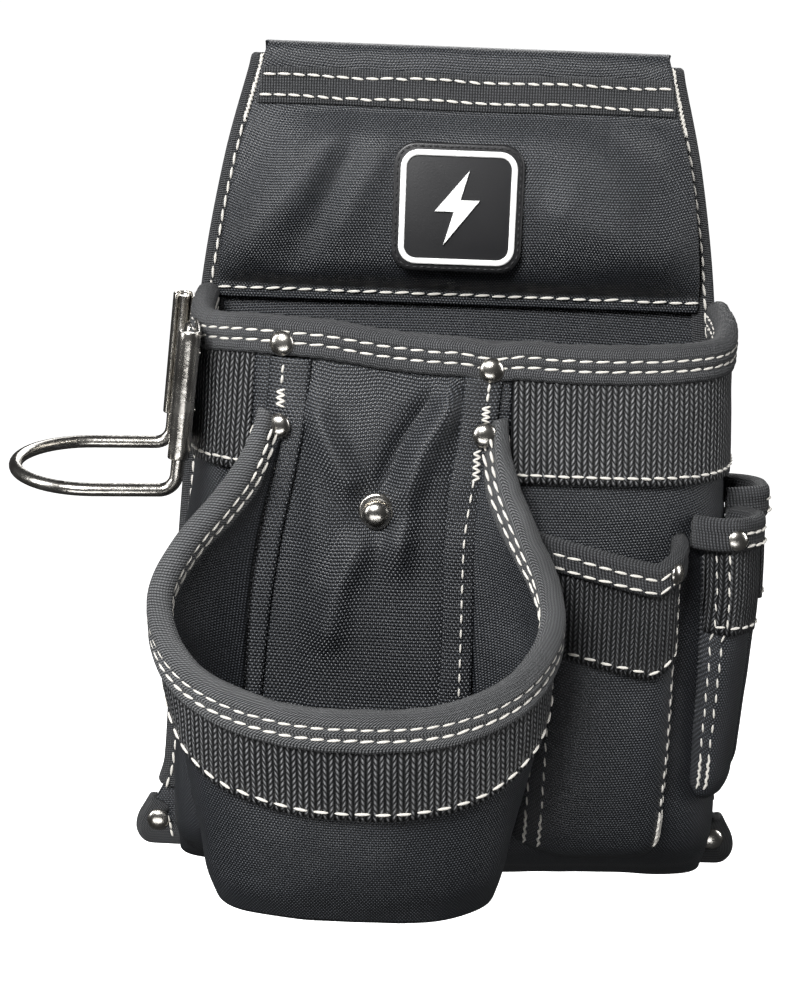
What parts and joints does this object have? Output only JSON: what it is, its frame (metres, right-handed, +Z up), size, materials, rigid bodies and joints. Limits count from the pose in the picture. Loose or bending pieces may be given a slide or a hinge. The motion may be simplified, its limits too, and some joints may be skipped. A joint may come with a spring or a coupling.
{
  "type": "electrician tool pouch",
  "caption": "Belt-worn electrician's tool pouch with a deep main pocket, a scooped front pouch, side tool pockets and a steel hammer loop.",
  "frame": {"origin": "middle of the belt tunnel, where the worn belt passes behind the top panel", "axes": "+Z up, -Y towards the front of the pouch (away from the wearer), +X to the right as seen from the front"},
  "size_m": [0.2801, 0.1645, 0.3152],
  "materials": {
    "nylon": "coarse black ballistic nylon, coated on the back",
    "webbing": "heavy herringbone webbing, black",
    "edge_tape": "ribbed charcoal binding tape",
    "stiffener": "black polyethylene board",
    "foam": "closed-cell foam cord",
    "rubber": "moulded black rubber",
    "badge_white": "raised white rubber",
    "nickel": "bright nickel plate"
  },
  "bodies": {
    "root": {"back_panel_front_skin": "nylon", "back_panel_rear_skin": "nylon", "back_stiffener": "stiffener", "badge_base": "rubber", "badge_bolt": "badge_white", "badge_frame": "badge_white", "base_corner_rivet_left": "nickel", "base_corner_rivet_right": "nickel", "centre_rivet": "nickel", "centre_rivet_seat": "nickel", "centre_rivet_washer": "nickel", "edge_tape_foot": "edge_tape", "edge_tape_left": "edge_tape", "edge_tape_right": "edge_tape", "front_tool_pocket_band": "webbing", "front_tool_pocket_edge_tape": "edge_tape", "front_tool_pocket_rivet": "nickel", "front_tool_pocket_wall": "nylon", "hammer_loop": "nickel", "hammer_plate": "nickel", "hammer_rivet_lower_front": "nickel", "hammer_rivet_lower_front_washer": "nickel", "hammer_rivet_lower_rear": "nickel", "hammer_rivet_lower_rear_washer": "nickel", "hammer_rivet_upper_front": "nickel", "hammer_rivet_upper_front_washer": "nickel", "hammer_rivet_upper_rear": "nickel", "hammer_rivet_upper_rear_washer": "nickel", "main_band_left": "webbing", "main_band_right": "webbing", "main_pocket_base": "nylon", "main_pocket_wall": "nylon", "main_rim_binding": "edge_tape", "main_rim_core": "foam", "pouch_backing_panel": "nylon", "pouch_band": "webbing", "pouch_base": "nylon", "pouch_corner_rivet_left": "nickel", "pouch_corner_rivet_left_washer": "nickel", "pouch_corner_rivet_right": "nickel", "pouch_corner_rivet_right_washer": "nickel", "pouch_rim_binding": "edge_tape", "pouch_rim_core": "foam", "pouch_seam_strip_left": "nylon", "pouch_seam_strip_right": "nylon", "pouch_wall": "nylon", "rear_tool_pocket_band": "webbing", "rear_tool_pocket_edge_tape": "edge_tape", "rear_tool_pocket_wall": "nylon", "rim_rivet_left": "nickel", "rim_rivet_left_washer": "nickel", "rim_rivet_right": "nickel", "rim_rivet_right_washer": "nickel", "side_tool_pocket_band": "webbing", "side_tool_pocket_edge_tape": "edge_tape", "side_tool_pocket_rivet": "nickel", "side_tool_pocket_wall": "nylon", "tunnel_panel": "nylon", "tunnel_webbing_strip": "webbing"}
  },
  "joints": []
}
